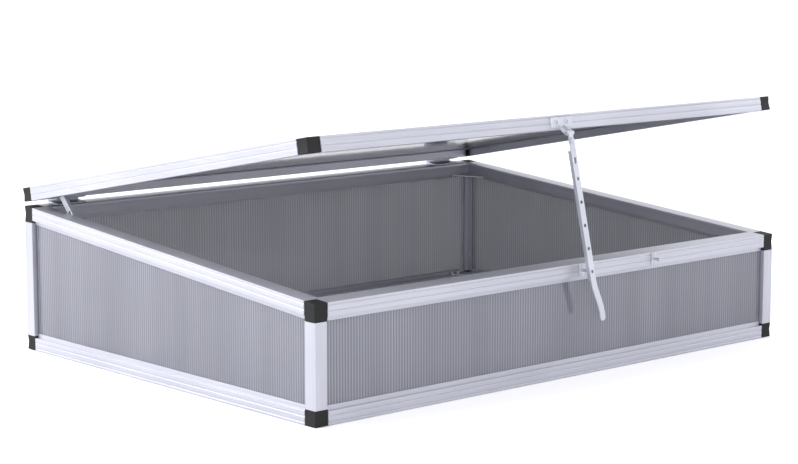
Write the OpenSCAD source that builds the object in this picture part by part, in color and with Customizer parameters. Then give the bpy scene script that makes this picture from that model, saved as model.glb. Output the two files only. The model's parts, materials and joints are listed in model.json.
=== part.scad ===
// Cold frame: a sloped aluminium frame with clear twin-wall sheets, and a hinged lid on a stay.
// The origin is on the ground at the middle of the whole footprint, +Y to the rear, +Z up.

/* [Overall] */
// Outside width of the frame, left to right
frame_w = 1080; // [700:10:1500]
// Outside depth of the frame, front to rear
frame_d = 806; // [600:2:1100]
// Height of the low front wall, ground to top of rail
front_h = 190; // [160:5:300]
// Height of the tall rear wall, ground to top of rail
rear_h = 257.5; // [200:2.5:380]
// How far the frame sits behind the middle of the footprint, because the stay stands out in front
overhang_shift = 10; // [0:1:30]

/* [Rails and posts] */
// Height of the outer face of a base rail
rail_face = 22.6; // [18:0.2:28]
// Depth of a base rail, outer face to inner face
rail_depth = 26; // [24:0.5:34]
// Depth of the flat top flange of an upper rail
flange_depth = 32; // [30:0.5:42]
// Thickness of that top flange
flange_t = 6; // [3:0.5:10]
// Wall of the hollow sections
wall = 1.8; // [1.2:0.1:2.5]
// Height of the lips that hold a wall sheet, beyond the rail's face
lip = 7.4; // [5:0.2:12]
// Thickness of one lip
lip_t = 1.5; // [1:0.1:2.5]
// Distance from the outer face to the sheet slot
slot_in = 8; // [6:0.25:9]
// Width of each outer face of a corner post
post_face = 24; // [22:0.5:28]
// Depth of each leg of a corner post
post_leg = 15; // [14:0.25:17]
// How far a wall sheet enters a corner post
post_slot = 7; // [5:0.5:8]
// Depth and half width of the long grooves in the outer faces
groove = 0.5; // [0.3:0.1:0.8]

/* [Corner blocks] */
// How much wider a corner block is than the rails are deep
cap_margin = 0; // [0:0.5:8]
// Height of a lower corner block
low_cap_h = 26; // [24:0.5:34]
// Height of an upper corner block
top_cap_h = 29; // [26:0.5:36]
// Length of the pegs that enter the hollow sections
peg = 18; // [10:1:30]
// Clearance all round a peg
peg_gap = 0.2; // [0.1:0.05:0.4]

/* [Sheets] */
// Thickness of the clear sheets
sheet_t = 4; // [3:0.5:4]
// Clearance on each face of a sheet in its slot
sheet_gap = 0.25; // [0.1:0.05:0.4]
// Clearance between a sheet's edge and the bottom of its slot
sheet_end = 0.4; // [0.2:0.1:1]

/* [Gussets] */
// Length of a corner gusset along each rail
gusset_leg = 70; // [60:1:100]
// Thickness of a gusset
gusset_t = 2; // [1.5:0.5:4]
// Distance from the corner to the first bolt
gusset_bolt = 49; // [44:1:55]
// Spacing of the two bolts on one leg
gusset_pitch = 15; // [11:1:16]
// Radius of the bolt shanks
bolt_r = 2; // [1.5:0.25:2.5]

/* [Lid] */
// Height of a lid rail
lid_face = 24.7; // [22:0.1:32]
// Depth of a lid rail's hollow body
lid_depth = 20; // [16:0.5:24]
// Length of the lips that hold the lid sheet
lid_lip = 9; // [7:0.5:12]
// Height of the lid sheet's slot above the lid's underside
lid_slot = 15; // [8:0.5:16]
// Opening angle of the lid at rest, from parallel with the base
lid_open = 15.65; // [5:0.05:20]

/* [Hinges] */
// Length of one hinge
hinge_len = 60; // [50:1:90]
// Distance from the frame's end to the middle of a hinge
hinge_inset = 84; // [84:0.5:200]
// Width of one hinge leaf
leaf_w = 24; // [22:1:26]
// Thickness of one hinge leaf
leaf_t = 2; // [1.5:0.5:3]
// Gap between the leaves when they are parallel
leaf_gap = 0.8; // [0.6:0.1:2]
// Outer radius of the hinge knuckles
knuckle_r = 3.6; // [3:0.1:4]
// Radius of the hinge pins
hinge_pin_r = 1.8; // [1.2:0.1:2]
// Distance of the hinge axis behind the rear face
hinge_back = 4.2; // [4:0.1:6]
// Radial clearance of every running pin
running_gap = 0.05; // [0.02:0.01:0.1]

/* [Front stay] */
// Distance of the stay's rivet to the right of the middle
stay_x = -5; // [-20:1:20]
// Distance of the stay's cross pin in front of the lid rail
stay_out = 19; // [16:0.5:24]
// Distance of the cross pin below the lid's underside
stay_low = 8; // [0:0.5:12]
// Distance from the cross pin down to the rivet
rivet_drop = 13; // [10:0.2:15]
// Outward lean of the hanging arm
stay_tilt = 3; // [2:0.5:4]
// Width of the arm
arm_w = 12; // [10:0.5:14]
// Depth of the arm's channel
arm_depth = 7; // [5:0.5:8]
// Thickness of the arm's metal
arm_t = 1.5; // [1:0.1:2]
// Distance from the rivet to the slot in the arm
arm_slot = 33; // [28:1:60]
// Distance from the rivet to the first hole
arm_first = 64; // [55:1:90]
// Number of round holes in the arm
arm_holes = 5; // [3:1:6]
// Radius of the holes in the arm
arm_hole_r = 3; // [2:0.25:3.5]
// Length of the bare handle below the last hole
handle_len = 82; // [60:1:100]
// Largest angle of the handle's sideways curve
handle_bend = 13; // [5:1:30]

/* [Catches] */
// Distance of the middle catch to the right of the middle
catch_x = 35; // [20:1:50]
// Distance between the two catches
catch_pitch = 180; // [120:5:240]
// Length of a catch pin in front of the rail
pin_len = 16; // [10:0.5:16]
// Radius of a catch pin
pin_r = 2.5; // [2:0.1:3]

/* [Side stay] */
// Distance of the side stay's bolt in front of the rear face
side_y = 68; // [66:1:120]
// Distance of the side stay's inner plane from the left face
side_x = 33; // [33:0.5:45]
// Height of its bolt above the lid's underside
side_h = 7; // [6:0.5:8]
// Length of the side stay
side_len = 218; // [150:1:230]
// Lean of the hanging side stay from vertical, towards the front
side_lean = 43; // [20:1:60]

/* [Hidden] */
$fn = 48;
over = 1;

// Planes of the frame
left_x = -frame_w / 2;
front_y = -frame_d / 2 + overhang_shift;
rear_y = front_y + frame_d;
slope = atan((rear_h - front_h) / frame_d);

// Height of the sloped top plane at y, less a depth h measured square to it
function sloped(y, h) = front_h + (y - front_y) * tan(slope) - h / cos(slope);

// Side of a corner block, seen from above
cap = rail_depth + cap_margin;

// Slots for the sheets, whose bed lies above the rail's face
slot_bed = 2;
slot_w = sheet_t + 2 * sheet_gap;
slot_floor = rail_face + slot_bed;
sheet_in = slot_in + sheet_gap;
lip_out = slot_in + slot_w + lip_t;

// Places of the grooves in a face, as shares of its height
groove_low = 0.2;
groove_high = 0.62;
lid_groove_low = 0.42;
lid_groove_high = 0.84;

// Outlines of the sections, as [depth from the outer face, height from the outer edge]
function notch(at) = [[0, at - groove], [groove, at], [0, at + groove]];
lips = [
    [slot_in - lip_t, rail_face], [slot_in - lip_t, rail_face + lip],
    [slot_in, rail_face + lip], [slot_in, slot_floor],
    [slot_in + slot_w, slot_floor], [slot_in + slot_w, rail_face + lip],
    [lip_out, rail_face + lip], [lip_out, rail_face]
];
face_line = concat(
    [[0, 0]], notch(rail_face * groove_low), notch(rail_face * groove_high), [[0, rail_face]]
);
low_outline = concat(face_line, lips, [[rail_depth, rail_face], [rail_depth, 0]]);
top_outline = concat(face_line, lips, [
    [rail_depth, rail_face], [rail_depth, flange_t],
    [flange_depth, flange_t], [flange_depth, 0]
]);
function core(deep, high, gap) = [
    [wall + gap, wall + gap], [wall + gap, high - wall - gap],
    [deep - wall - gap, high - wall - gap], [deep - wall - gap, wall + gap]
];
lid_reach = lid_depth + lid_lip;
lid_slot_top = lid_slot + slot_w;
lid_outline = concat(
    [[0, 0]], notch(lid_face * lid_groove_low), notch(lid_face * lid_groove_high),
    [
        [0, lid_face], [lid_depth, lid_face],
        [lid_depth, lid_slot_top + lip_t], [lid_reach, lid_slot_top + lip_t],
        [lid_reach, lid_slot_top], [lid_depth + lip_t, lid_slot_top],
        [lid_depth + lip_t, lid_slot], [lid_reach, lid_slot],
        [lid_reach, lid_slot - lip_t], [lid_depth, lid_slot - lip_t], [lid_depth, 0]
    ]
);

// Hinge axis and the lid's own frame, whose origin is on that axis
half_gap = leaf_t + leaf_gap / 2;
hinge_y = rear_y + hinge_back;
hinge_z = rear_h + (half_gap + hinge_back * sin(slope)) / cos(slope);
lid_rise = lid_open - slope;
lid_d = frame_d / cos(slope);
lid_front = -hinge_back - lid_d;
hinge_x = frame_w / 2 - hinge_inset;

// Front stay: cross pin, rivet and the reach from the rivet to the middle catch
cross_level = half_gap - stay_low;
cross_y = hinge_y + (lid_front - stay_out) * cos(lid_rise) + cross_level * sin(lid_rise);
cross_z = hinge_z - (lid_front - stay_out) * sin(lid_rise) + cross_level * cos(lid_rise);
catch_z = front_h - rail_face / 2;
drop = (cross_z - catch_z) / cos(stay_tilt) - rivet_drop;
stay_lean = atan((catch_x - stay_x) / drop);
reach = drop / cos(stay_lean);
arm_pitch = (reach - arm_first) / (arm_holes - 1);
channel_top = 16;
channel_over = 14;
channel_end = reach + channel_over;
arm_flange_t = 1.2;
arm_slot_half = 2.5;
arm_len = reach + handle_len;
ear_t = 2.5;
cross_r = 2;
barrel_r = 4;
barrel_w = 10;
barrel_gap = 0.2;
web_back = barrel_r + barrel_gap;
tongue_gap = 0.1;
tongue_y = -web_back + tongue_gap;
web_front = web_back + arm_t;
tongue_t = 2;
rivet_r = 2.5;
rivet_head_r = 4.2;
rivet_head_h = 1.6;
rivet_tail_r = 3.6;
rivet_tail_h = 1;
part_gap = 0.15;
plate_w = 50;
plate_h = 17;
plate_t = 2;
plate_shift = 2.5;
plate_x = stay_x + plate_shift;
plate_z = (lid_face - plate_h) / 2;
plate_pitch = 24;
ear_root = 4.5;
cross_head_r = 3.2;
cross_head_h = 1.2;

// Fasteners
screw_r = 1.9;
thin_screw_r = 1.5;
screw_len = 6;
hole_gap = 0.1;
press_gap = 0.02;
head_r = 3.6;
head_h = 1.6;
small_head_r = 2.6;
small_head_h = 1.2;
nut_r = 3.6;
nut_h = 3;
bolt_end = 2;
leaf_screw_in = 13.2;
hinge_pin_over = 1;
third = hinge_len / 3;

// Gussets, clear of the lips and of the corner blocks on the slope too
lip_gap = 0.5;
gusset_in = lip_out / cos(slope) + gusset_t * tan(slope) + lip_gap;
gusset_corner = cap / cos(slope) + gusset_t * tan(slope) + part_gap;
bolt_shift = 0.3;
bolt_line = (lip_out + rail_depth) / 2 + bolt_shift;

// Post screws: one high on one leg and one low on the other
post_web = 1.5;
post_head_r = 3.2;
post_head_h = 2;
post_screw_mid = (post_leg + post_face) / 2;
post_screw_low = 34;
post_screw_high = 33;
post_inner_wall = post_leg - slot_in - slot_w;

// Catches
catch_w = 12;
catch_h = 20;
catch_t = 2;
catch_screw_z = 6.7;
pin_tip = 1;

// Side stay
side_bolt_r = 2.5;
side_bolt_over = 1;
side_head_r = 4;
side_head_h = 2.4;
side_collar_r = 5;
side_holes = 4;
side_tip = side_len - arm_w / 2;

SIDES = ["front", "rear", "left", "right"];
CORNERS = ["front_left", "front_right", "rear_left", "rear_right"];

// ---- Placing helpers ----

// Carries an outline [y, z] along X from x0 to x1
module along_x(x0, x1) {
    translate([x0, 0, 0]) rotate([90, 0, 90]) linear_extrude(x1 - x0) children();
}

// Carries an outline [x, z] along Y from y0 to y1
module along_y(y0, y1) {
    translate([0, y1, 0]) rotate([90, 0, 0]) linear_extrude(y1 - y0) children();
}

// Keeps what lies between y0 and y1
module between_y(y0, y1) {
    intersection() {
        children();
        translate([-2 * frame_w, y0, -frame_d]) cube([4 * frame_w, y1 - y0, 4 * frame_d]);
    }
}

// Frame of the sloped top plane: +Y up the slope from the front edge, z = 0 on the plane
module on_slope() {
    translate([0, front_y, front_h]) rotate([slope, 0, 0]) children();
}

// Frame of the lid, level and with its origin on the hinge axis, at its rest opening
module on_lid() {
    translate([0, hinge_y, hinge_z]) rotate([-lid_rise, 0, 0]) children();
}

// Frame of the base leaves, with its origin on the hinge axis
module on_hinge() {
    translate([0, hinge_y, hinge_z]) rotate([slope, 0, 0]) children();
}

// Puts a part drawn for the front left corner, from its outer corner inwards, on any corner
module at_corner(name) {
    rear = name == "rear_left" || name == "rear_right";
    right = name == "front_right" || name == "rear_right";
    mirror([right ? 1 : 0, 0, 0]) translate([left_x, rear ? rear_y : front_y, 0])
        mirror([0, rear ? 1 : 0, 0]) children();
}

function is_rear(name) = name == "rear_left" || name == "rear_right" || name == "rear";

// Height of the sloped plane at distance d from the front or the rear face
function top_at(name, d, h) = sloped(is_rear(name) ? rear_y - d : front_y + d, h);

// ---- Base frame ----

module low_section() {
    difference() {
        polygon(low_outline);
        polygon(core(rail_depth, rail_face, 0));
    }
}

module bottom_rail(side) {
    color("gainsboro") difference() {
        if (side == "front" || side == "rear")
            translate([0, side == "front" ? front_y : rear_y, 0])
            mirror([0, side == "rear" ? 1 : 0, 0])
            along_x(left_x + cap, -left_x - cap) low_section();
        else
            mirror([side == "right" ? 1 : 0, 0, 0]) translate([left_x, 0, 0])
            along_y(front_y + cap, rear_y - cap) low_section();
        lower_bolt_shanks(bolt_r + hole_gap);
    }
}

// Outline of a front or rear upper rail, sheared so that its top follows the slope
function sheared(side, points) = [for (p = points) [p[0], top_at(side, p[0], p[1])]];

module top_rail_straight(side) {
    translate([0, side == "front" ? front_y : rear_y, 0]) mirror([0, side == "rear" ? 1 : 0, 0])
    along_x(left_x + cap, -left_x - cap) difference() {
        polygon(sheared(side, top_outline));
        polygon(sheared(side, core(rail_depth, rail_face, 0)));
    }
}

// Left upper rail; its flange gives way to those of the front and rear rails
module top_rail_sloping() {
    difference() {
        between_y(front_y + cap, rear_y - cap) on_slope() translate([left_x, 0, 0])
            along_y(-cap, frame_d + 2 * cap) mirror([0, 1, 0]) difference() {
                polygon(top_outline);
                polygon(core(rail_depth, rail_face, 0));
            }
        for (y = [front_y, rear_y - flange_depth])
            translate([left_x + cap, y, 0]) cube([flange_depth, flange_depth, 2 * rear_h + front_h]);
    }
}

module top_rail(side) {
    color("gainsboro") difference() {
        if (side == "front" || side == "rear")
            top_rail_straight(side);
        else
            mirror([side == "right" ? 1 : 0, 0, 0]) top_rail_sloping();
        if (side == "rear")
            hinge_base_holes(screw_r + hole_gap);
        if (side == "front")
            catch_screw_shanks(thin_screw_r + hole_gap);
        upper_bolt_shanks(bolt_r + hole_gap);
    }
}

// Post section seen from above: two hollow legs with a slot for a sheet in the end of each
module post_section() {
    difference() {
        polygon([
            [0, 0], [post_face, 0], [post_face, post_leg],
            [post_leg, post_leg], [post_leg, post_face], [0, post_face]
        ]);
        translate([wall, wall]) square(post_leg - 2 * wall);
        for (flip = [0, 1])
            mirror([flip, -flip]) {
                translate([post_face - post_slot, slot_in]) square([post_slot + over, slot_w]);
                translate([post_leg - wall + post_web, wall])
                    square([post_face - post_leg - post_web, slot_in - 2 * wall]);
            }
    }
}

module corner_post(name) {
    foot = low_cap_h;
    head = (is_rear(name) ? rear_h : front_h) - top_cap_h;
    color("gainsboro") difference() {
        at_corner(name) translate([0, 0, foot]) linear_extrude(head - foot) post_section();
        post_screw_shanks(name, thin_screw_r + hole_gap);
    }
}

// Room in a corner block for the corners of the two sheets beside it
module sheet_pockets(z0, z1) {
    for (flip = [0, 1])
        mirror([flip, -flip, 0])
        translate([post_face - post_slot, slot_in, z0]) cube([cap, slot_w, z1 - z0]);
}

// Peg that enters a post's hollow corner
module post_peg(z0, z1) {
    side = post_leg - 2 * wall - 2 * peg_gap;
    translate([wall + peg_gap, wall + peg_gap, z0]) cube([side, side, z1 - z0]);
}

module bottom_corner(name) {
    color("#202124") at_corner(name) {
        difference() {
            cube([cap, cap, low_cap_h]);
            sheet_pockets(slot_floor, low_cap_h + over);
        }
        post_peg(low_cap_h, low_cap_h + peg);
        for (flip = [0, 1])
            mirror([flip, -flip, 0])
            along_x(cap, cap + peg) polygon(core(rail_depth, rail_face, peg_gap));
    }
}

module top_corner_body(name) {
    base = (is_rear(name) ? rear_h : front_h) - top_cap_h;
    difference() {
        along_x(0, cap) polygon([
            [0, base], [cap, base],
            [cap, top_at(name, cap, 0)], [0, top_at(name, 0, 0)]
        ]);
        sheet_pockets(base - over, top_at(name, 0, slot_floor) + cap * tan(slope) + sheet_end);
    }
    post_peg(base - peg, base);
    along_x(cap, cap + peg) polygon(sheared(name, core(rail_depth, rail_face, peg_gap)));
}

// Peg along the slope into a side rail, drawn in the whole frame's own place
module sloping_peg(name) {
    start = is_rear(name) ? rear_y - cap - peg : front_y + cap;
    right = name == "front_right" || name == "rear_right";
    mirror([right ? 1 : 0, 0, 0]) between_y(start, start + peg) on_slope() translate([left_x, 0, 0])
        along_y(-cap, frame_d + 2 * cap) mirror([0, 1, 0]) polygon(core(rail_depth, rail_face, peg_gap));
}

module top_corner(name) {
    color("#202124") {
        at_corner(name) top_corner_body(name);
        sloping_peg(name);
    }
}

module wall_sheet(side) {
    low = slot_floor;
    edge = post_face - post_slot + sheet_end;
    color("silver", 0.5)
    if (side == "front" || side == "rear")
        translate([0, side == "front" ? front_y : rear_y, 0]) mirror([0, side == "rear" ? 1 : 0, 0])
        translate([left_x + edge, sheet_in, low])
            cube([frame_w - 2 * edge, sheet_t, top_at(side, sheet_in, slot_floor + sheet_end) - low - sheet_end]);
    else
        mirror([side == "right" ? 1 : 0, 0, 0])
        along_x(left_x + sheet_in, left_x + sheet_in + sheet_t) polygon([
            [front_y + edge, low], [rear_y - edge, low],
            [rear_y - edge, sloped(rear_y - edge, slot_floor + sheet_end)],
            [front_y + edge, sloped(front_y + edge, slot_floor + sheet_end)]
        ]);
}

// ---- Gussets and their bolts ----

// Triangle with its inner corner cut back, clear of the corner block
module gusset_shape() {
    polygon([
        [gusset_corner, gusset_in], [gusset_leg, gusset_in], [gusset_leg, rail_depth],
        [rail_depth, gusset_leg], [gusset_in, gusset_leg],
        [gusset_in, gusset_corner], [gusset_corner, gusset_corner]
    ]);
}

// Places children at the two bolts on each leg
module at_gusset_bolts() {
    for (flip = [0, 1])
        mirror([flip, -flip, 0])
        for (n = [0, 1])
            translate([gusset_bolt + n * gusset_pitch, bolt_line, 0]) children();
}

// Puts a part drawn for the front left corner on any corner of the upper rails' undersides
module at_slope_corner(name) {
    rear = is_rear(name);
    right = name == "front_right" || name == "rear_right";
    on_slope() mirror([right ? 1 : 0, 0, 0])
        translate([left_x, (rear ? lid_d : 0) - rail_face * tan(slope), 0])
        mirror([0, rear ? 1 : 0, 0]) children();
}

module lower_gussets() {
    color("silver")
    for (name = CORNERS)
        at_corner(name) translate([0, 0, rail_face]) linear_extrude(gusset_t) difference() {
            gusset_shape();
            at_gusset_bolts() circle(bolt_r + hole_gap);
        }
}

module upper_gussets() {
    color("silver")
    for (name = CORNERS)
        at_slope_corner(name) translate([0, 0, -rail_face - gusset_t]) linear_extrude(gusset_t)
        difference() {
            gusset_shape();
            at_gusset_bolts() circle(bolt_r + hole_gap);
        }
}

// Bolt through a gusset and one wall of a rail, with its nut on the gusset
module gusset_bolt_shape() {
    cylinder(h = nut_h, r = nut_r, $fn = 6);
    translate([0, 0, nut_h]) cylinder(h = bolt_end, r = bolt_r);
    translate([0, 0, -gusset_t - wall]) cylinder(h = gusset_t + wall + over, r = bolt_r);
}

module lower_gusset_bolts() {
    color("lightgray")
    for (name = CORNERS)
        at_corner(name) translate([0, 0, rail_face + gusset_t]) at_gusset_bolts() gusset_bolt_shape();
}

module upper_gusset_bolts() {
    color("lightgray")
    for (name = CORNERS)
        at_slope_corner(name) translate([0, 0, -rail_face - gusset_t]) mirror([0, 0, 1])
            at_gusset_bolts() gusset_bolt_shape();
}

module upper_bolt_shanks(r) {
    for (name = CORNERS)
        at_slope_corner(name) translate([0, 0, -rail_face - over]) at_gusset_bolts()
            cylinder(h = wall + 1.5 * over, r = r);
}

module lower_bolt_shanks(r) {
    for (name = CORNERS)
        at_corner(name) translate([0, 0, rail_face - wall - over / 2]) at_gusset_bolts()
            cylinder(h = wall + 1.5 * over, r = r);
}

// ---- Post screws ----

module at_post_screws(name) {
    high = (is_rear(name) ? rear_h : front_h) - post_screw_high;
    at_corner(name) {
        translate([post_screw_mid, post_leg, high]) rotate([-90, 0, 0]) children();
        translate([post_leg, post_screw_mid, low_cap_h + post_screw_low]) rotate([0, 90, 0]) children();
    }
}

module post_screw_shanks(name, r) {
    at_post_screws(name) translate([0, 0, -post_inner_wall]) cylinder(h = post_inner_wall + over, r = r);
}

module post_screws() {
    color("lightgray")
    for (name = CORNERS)
        at_post_screws(name) {
            cylinder(h = post_head_h, r = post_head_r);
            translate([0, 0, part_gap - post_inner_wall]) cylinder(h = post_inner_wall, r = thin_screw_r);
        }
}

// ---- Lid ----

// Puts a part drawn for the lid's front left corner, from its outer corner inwards, on any corner
module at_lid_corner(name) {
    rear = is_rear(name);
    right = name == "front_right" || name == "rear_right";
    on_lid() mirror([right ? 1 : 0, 0, 0])
        translate([left_x, rear ? -hinge_back : lid_front, half_gap])
        mirror([0, rear ? 1 : 0, 0]) children();
}

module lid_section() {
    difference() {
        polygon(lid_outline);
        polygon(core(lid_depth, lid_face, 0));
    }
}

module lid_side_rail() {
    difference() {
        translate([left_x, 0, half_gap])
            along_y(lid_front + cap, -hinge_back - cap) lid_section();
        for (y = [lid_front + cap - over, -hinge_back - lid_reach])
            translate([left_x + cap - over, y, 0])
                cube([cap, lid_reach - cap + over, lid_face + half_gap + over]);
    }
}

module lid_rail(side) {
    color("gainsboro") difference() {
        on_lid()
        if (side == "front" || side == "rear")
            translate([0, side == "front" ? lid_front : -hinge_back, half_gap])
            mirror([0, side == "rear" ? 1 : 0, 0])
            along_x(left_x + cap, -left_x - cap) lid_section();
        else
            mirror([side == "right" ? 1 : 0, 0, 0]) lid_side_rail();
        if (side == "front")
            plate_screw_shanks(screw_r + hole_gap);
        if (side == "rear")
            hinge_lid_holes(screw_r + hole_gap);
        if (side == "left")
            side_bolt_hole();
    }
}

module lid_corner(name) {
    color("#202124") at_lid_corner(name) {
        difference() {
            cube([cap, cap, lid_face]);
            translate([lid_depth + lip_t, lid_depth + lip_t, lid_slot]) cube([cap, cap, slot_w]);
        }
        for (flip = [0, 1])
            mirror([flip, -flip, 0])
            along_x(cap, cap + peg) polygon(core(lid_depth, lid_face, peg_gap));
    }
}

module lid_sheet() {
    edge = lid_depth + lip_t + sheet_end;
    color("silver", 0.5) on_lid()
        translate([left_x + edge, lid_front + edge, half_gap + lid_slot + sheet_gap])
        cube([frame_w - 2 * edge, lid_d - 2 * edge, sheet_t]);
}

// ---- Hinges ----

// Plate of a leaf with its knuckles; the plate's outer face is at z = -half_gap
module leaf(middle) {
    difference() {
        union() {
            translate([-hinge_len / 2, -hinge_back - leaf_w, -half_gap])
                cube([hinge_len, leaf_w, leaf_t]);
            for (n = middle ? [0] : [-1, 1])
                translate([n * third - third / 2 + part_gap, 0, 0]) {
                    translate([0, -hinge_back - over, -half_gap])
                        cube([third - 2 * part_gap, hinge_back + over, leaf_t]);
                    rotate([0, 90, 0]) cylinder(h = third - 2 * part_gap, r = knuckle_r);
                }
        }
        translate([-hinge_len, 0, 0]) rotate([0, 90, 0])
            cylinder(h = 2 * hinge_len, r = hinge_pin_r + (middle ? running_gap : press_gap));
        leaf_screws(hole_gap);
    }
}

// Countersunk screws of one leaf, heads at its inner face
module leaf_screws(gap) {
    for (n = [-1, 0, 1])
        translate([n * third, -hinge_back - leaf_screw_in, -half_gap]) {
            cylinder(h = leaf_t, r1 = screw_r + gap, r2 = head_r + gap);
            translate([0, 0, -screw_len]) cylinder(h = screw_len + leaf_t / 4, r = screw_r + gap);
        }
}

module at_hinge(side) {
    translate([side == "left" ? -hinge_x : hinge_x, 0, 0]) children();
}

module hinge_base_leaf(side) {
    color("silver") on_hinge() at_hinge(side) leaf(false);
}

module hinge_lid_leaf(side) {
    color("silver") on_lid() at_hinge(side) mirror([0, 0, 1]) leaf(true);
}

module hinge_pin(side) {
    color("lightgray") on_hinge() at_hinge(side) {
        translate([-hinge_len / 2 - hinge_pin_over, 0, 0]) rotate([0, 90, 0])
            cylinder(h = hinge_len + 2 * hinge_pin_over, r = hinge_pin_r);
    }
}

module hinge_base_screws() {
    color("lightgray") on_hinge()
    for (side = ["left", "right"])
        at_hinge(side) leaf_screws(0);
}

module hinge_lid_screws() {
    color("lightgray") on_lid()
    for (side = ["left", "right"])
        at_hinge(side) mirror([0, 0, 1]) leaf_screws(0);
}

module hinge_screw_holes(r) {
    for (side = ["left", "right"])
        at_hinge(side)
        for (n = [-1, 0, 1])
            translate([n * third, -hinge_back - leaf_screw_in, -half_gap - screw_len - over])
                cylinder(h = screw_len + 2 * over, r = r);
}

module hinge_base_holes(r) {
    on_hinge() hinge_screw_holes(r);
}

module hinge_lid_holes(r) {
    on_lid() mirror([0, 0, 1]) hinge_screw_holes(r);
}

// ---- Front stay ----

// Frame of the bracket, turned as the lid is, with its origin at the cross pin and -Y outwards
module on_bracket() {
    on_lid() translate([stay_x, lid_front - stay_out, cross_level]) children();
}

// Frame of the hanging knuckle, with its origin at the cross pin
module on_knuckle() {
    translate([stay_x, cross_y, cross_z]) rotate([-stay_tilt, 0, 0]) children();
}

// Frame of the arm, with its origin at the rivet and the arm along -Z
module on_arm() {
    on_knuckle() translate([0, 0, -rivet_drop]) rotate([0, -stay_lean, 0]) children();
}

// Ear of the bracket as [y, z], tapering from the plate to a round end at the cross pin
module ear() {
    plate_y = stay_out - plate_t / 2;
    circle(barrel_r);
    polygon([
        [0, -barrel_r], [plate_y, stay_low + plate_z],
        [plate_y, stay_low + plate_z + ear_root], [0, barrel_r]
    ]);
}

module stay_bracket() {
    ear_x = barrel_w / 2 + part_gap;
    color("silver") difference() {
        union() {
            on_lid() translate([plate_x - plate_w / 2, lid_front - plate_t, half_gap + plate_z])
                cube([plate_w, plate_t, plate_h]);
            on_bracket()
            for (flip = [0, 1])
                mirror([flip, 0, 0]) along_x(ear_x, ear_x + ear_t) ear();
        }
        on_bracket() translate([-barrel_w, 0, 0]) rotate([0, 90, 0])
            cylinder(h = 2 * barrel_w, r = cross_r + press_gap);
        plate_screw_shanks(screw_r + hole_gap);
    }
}

module plate_screw_shanks(r) {
    on_lid()
    for (n = [-1, 1])
        translate([plate_x + n * plate_pitch / 2, lid_front - plate_t - over, half_gap + lid_face / 2])
            rotate([-90, 0, 0]) cylinder(h = screw_len + over, r = r);
}

module stay_bracket_screws() {
    color("lightgray") {
        on_lid()
        for (n = [-1, 1])
            translate([plate_x + n * plate_pitch / 2, lid_front - plate_t, half_gap + lid_face / 2])
                rotate([90, 0, 0]) cylinder(h = head_h, r = head_r);
        plate_screw_shanks(screw_r);
    }
}

module stay_cross_pin() {
    half = barrel_w / 2 + part_gap + ear_t;
    color("lightgray") on_bracket() {
        translate([-half, 0, 0]) rotate([0, 90, 0]) cylinder(h = 2 * half, r = cross_r);
        for (x = [half, -half - cross_head_h])
            translate([x, 0, 0]) rotate([0, 90, 0]) cylinder(h = cross_head_h, r = cross_head_r);
    }
}

module stay_knuckle() {
    color("silver") on_knuckle() difference() {
        union() {
            translate([-barrel_w / 2, 0, 0]) rotate([0, 90, 0]) cylinder(h = barrel_w, r = barrel_r);
            translate([-barrel_w / 2, tongue_y, -rivet_drop]) cube([barrel_w, tongue_t, rivet_drop]);
            translate([0, tongue_y, -rivet_drop]) rotate([-90, 0, 0])
                cylinder(h = tongue_t, r = barrel_w / 2);
        }
        translate([-barrel_w, 0, 0]) rotate([0, 90, 0])
            cylinder(h = 2 * barrel_w, r = cross_r + running_gap);
        translate([0, -barrel_w, -rivet_drop]) rotate([-90, 0, 0])
            cylinder(h = 2 * barrel_w, r = rivet_r + press_gap);
    }
}

module stay_rivet() {
    color("lightgray") on_knuckle() translate([0, 0, -rivet_drop]) {
        translate([0, -web_front - tongue_gap, 0]) rotate([-90, 0, 0])
            cylinder(h = arm_t + tongue_t + 3 * tongue_gap, r = rivet_r);
        translate([0, -web_front - tongue_gap, 0]) rotate([90, 0, 0])
            cylinder(h = rivet_head_h, r = rivet_head_r);
        translate([0, tongue_y + tongue_t, 0]) rotate([-90, 0, 0])
            cylinder(h = rivet_tail_h, r = rivet_tail_r);
    }
}

// Centre line of the bent handle below the channel, as [x, z] at t from 0 to 1. Its angle to the
// arm rises to handle_bend and falls again, as the sine of handle_wave * t.
handle_run = arm_len - channel_end;
handle_wave = 200;
function bend_at(t) = handle_bend * sin(handle_wave * t);
function handle_x(t) = handle_run * handle_bend * (1 - cos(handle_wave * t)) / handle_wave;
function handle_z(t) = -channel_end - handle_run * t;
handle_steps = 10;
handle_right = [for (n = [0:handle_steps]) let (t = n / handle_steps)
    [handle_x(t) + arm_w / 2 * cos(bend_at(t)), handle_z(t) + arm_w / 2 * sin(bend_at(t))]];
handle_left = [for (n = [handle_steps:-1:0]) let (t = n / handle_steps)
    [handle_x(t) - arm_w / 2 * cos(bend_at(t)), handle_z(t) - arm_w / 2 * sin(bend_at(t))]];

module stay_arm() {
    color("silver") on_arm() difference() {
        union() {
            along_y(-web_front, -web_back) {
                translate([-arm_w / 2, -channel_end]) square([arm_w, channel_end]);
                circle(arm_w / 2);
                polygon(concat(handle_right, handle_left));
                translate([handle_x(1), handle_z(1)]) circle(arm_w / 2);
            }
            for (x = [-arm_w / 2, arm_w / 2 - arm_flange_t])
                translate([x, -web_front, -channel_end])
                    cube([arm_flange_t, arm_depth, channel_end - channel_top]);
        }
        along_y(-web_front - over, -web_back + over) {
            circle(rivet_r + running_gap);
            for (n = [0:arm_holes - 1])
                translate([0, -arm_first - n * arm_pitch]) circle(arm_hole_r);
            translate([-arm_hole_r, -arm_slot - arm_slot_half])
                square([2 * arm_hole_r, 2 * arm_slot_half]);
            for (z = [-arm_slot_half, arm_slot_half])
                translate([0, -arm_slot + z]) circle(arm_hole_r);
        }
    }
}

// ---- Catches on the base ----

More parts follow.
